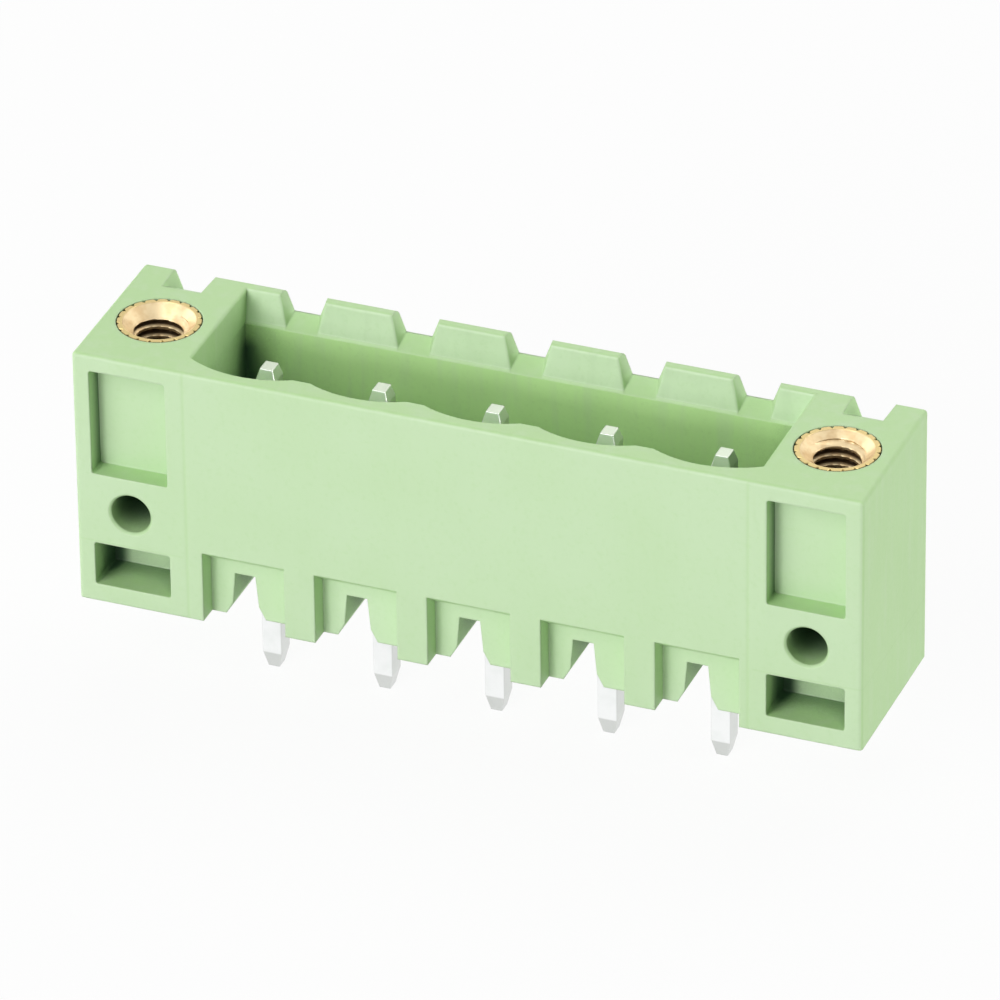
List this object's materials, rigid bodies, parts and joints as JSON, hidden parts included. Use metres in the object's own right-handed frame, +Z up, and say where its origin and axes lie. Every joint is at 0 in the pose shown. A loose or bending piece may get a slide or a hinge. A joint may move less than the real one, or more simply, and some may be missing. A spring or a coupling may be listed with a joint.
{
  "type": "pluggable terminal block socket",
  "caption": "Upright board header for a pluggable terminal block: open moulded cavity with toothed back wall, row of contact pins, and a threaded screw flange at each end.",
  "frame": {"origin": "middle of the pin row, in the plane of the circuit board that the housing stands on", "axes": "+X along the pin row, +Y from the front face to the toothed back wall, +Z up out of the cavity's mouth, away from the board"},
  "size_m": [0.0352, 0.008, 0.0158],
  "materials": {
    "housing_plastic": "light green glass-filled nylon, fine satin moulded surface",
    "tinned_contact": "bright tin plating on brass",
    "insert_brass": "turned brass, straight knurl"
  },
  "bodies": {
    "root": {"housing": "housing_plastic", "contact_pin_1": "tinned_contact", "contact_pin_2": "tinned_contact", "contact_pin_3": "tinned_contact", "contact_pin_4": "tinned_contact", "contact_pin_5": "tinned_contact", "threaded_insert_left": "insert_brass", "threaded_insert_right": "insert_brass"}
  },
  "joints": []
}
